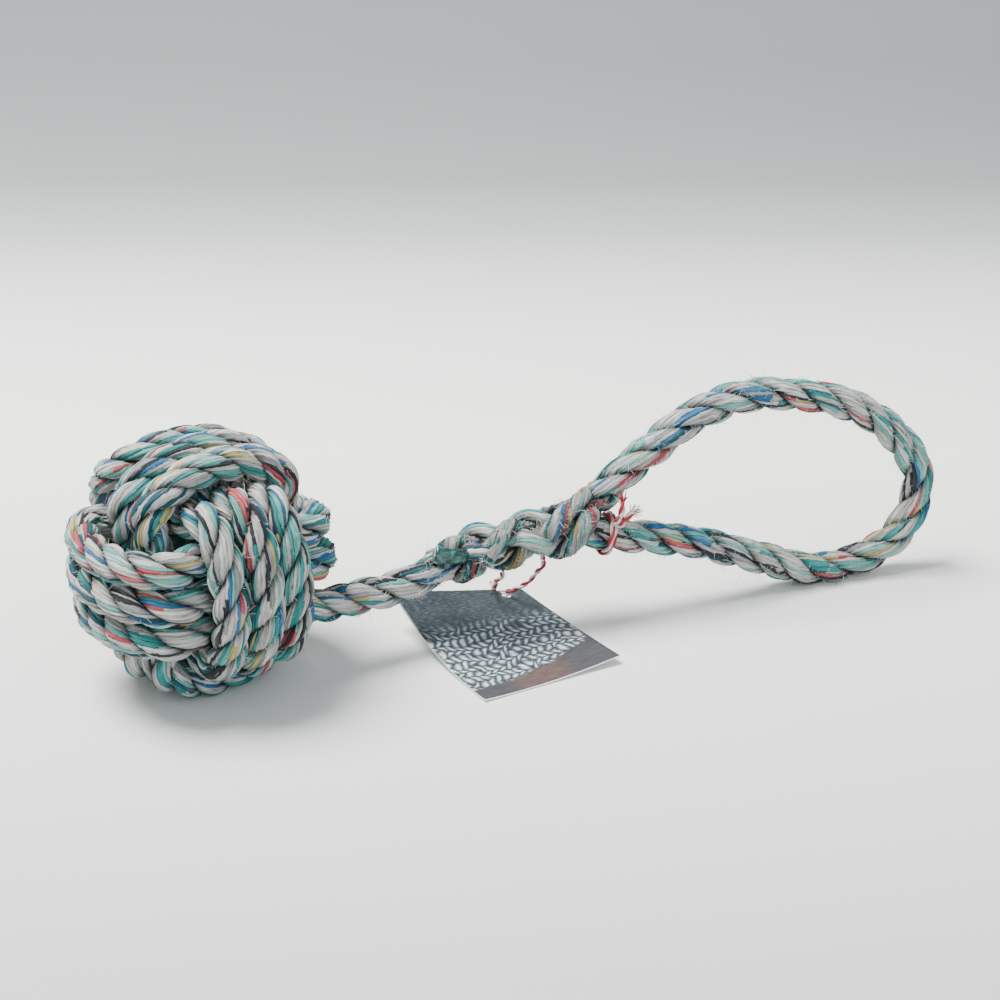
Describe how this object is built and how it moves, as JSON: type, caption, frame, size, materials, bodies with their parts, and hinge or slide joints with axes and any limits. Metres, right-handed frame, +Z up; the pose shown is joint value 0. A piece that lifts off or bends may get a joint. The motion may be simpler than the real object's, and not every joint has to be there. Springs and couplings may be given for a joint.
{
  "type": "rope dog toy",
  "caption": "Rope dog toy: a ball knot worked over a core, a short shank and an eye-spliced hand loop, with a hang card on twine.",
  "frame": {"origin": "middle of the flat that the ball knot rests on", "axes": "+X from the knot to the far end of the hand loop, +Z up, the card lies towards -Y"},
  "size_m": [0.3162, 0.096, 0.0845],
  "materials": {
    "rope": "three-strand cotton rope in white, grey, mint and teal yarns",
    "core": "ball of packed cotton, hidden",
    "twine": "two-ply red and white cotton twine",
    "card": "printed card with a soft sheen"
  },
  "bodies": {
    "fist": {"core_ball": "core", "fist_turns": "rope"},
    "shank": {"shank": "rope"},
    "handle": {"splice_standing_part": "rope", "tucked_strand_a": "rope", "tucked_strand_b": "rope", "tucked_strand_c": "rope", "loop_neck_upper": "rope", "loop_neck_lower": "rope", "twine_hitch": "twine", "twine_knot": "twine", "twine_tail_upper": "twine", "twine_tail_lower": "twine", "twine_run_near": "twine", "twine_run_far": "twine"},
    "loop": {"handle_loop": "rope"},
    "tag": {"twine_loop": "twine", "hang_tag": "card"}
  },
  "joints": [
    {"name": "shank_sway", "type": "hinge", "parent": "fist", "child": "shank", "pos_m": [0.052, -0.0098, 0.0242], "axis": [0, 0, 1], "range_deg": [-45, 45], "stiffness_Nm_per_rad": 0.25, "deforming": ["shank"]},
    {"name": "shank_bend", "type": "hinge", "parent": "shank", "child": "handle", "pos_m": [0.068, -0.0058, 0.0244], "axis": [0, 1, 0], "range_deg": [-45, 45], "stiffness_Nm_per_rad": 0.25, "deforming": ["shank"]},
    {"name": "loop_fold", "type": "hinge", "parent": "handle", "child": "loop", "pos_m": [0.162, -0.0045, 0.045], "axis": [0, 0, 1], "range_deg": [-60, 60], "stiffness_Nm_per_rad": 0.3, "deforming": ["loop_neck_upper", "loop_neck_lower"]},
    {"name": "tag_swing", "type": "hinge", "parent": "handle", "child": "tag", "pos_m": [0.112, -0.0017, 0.0197], "axis": [0.9945, 0, 0.1043], "range_deg": [-70, 70]}
  ]
}
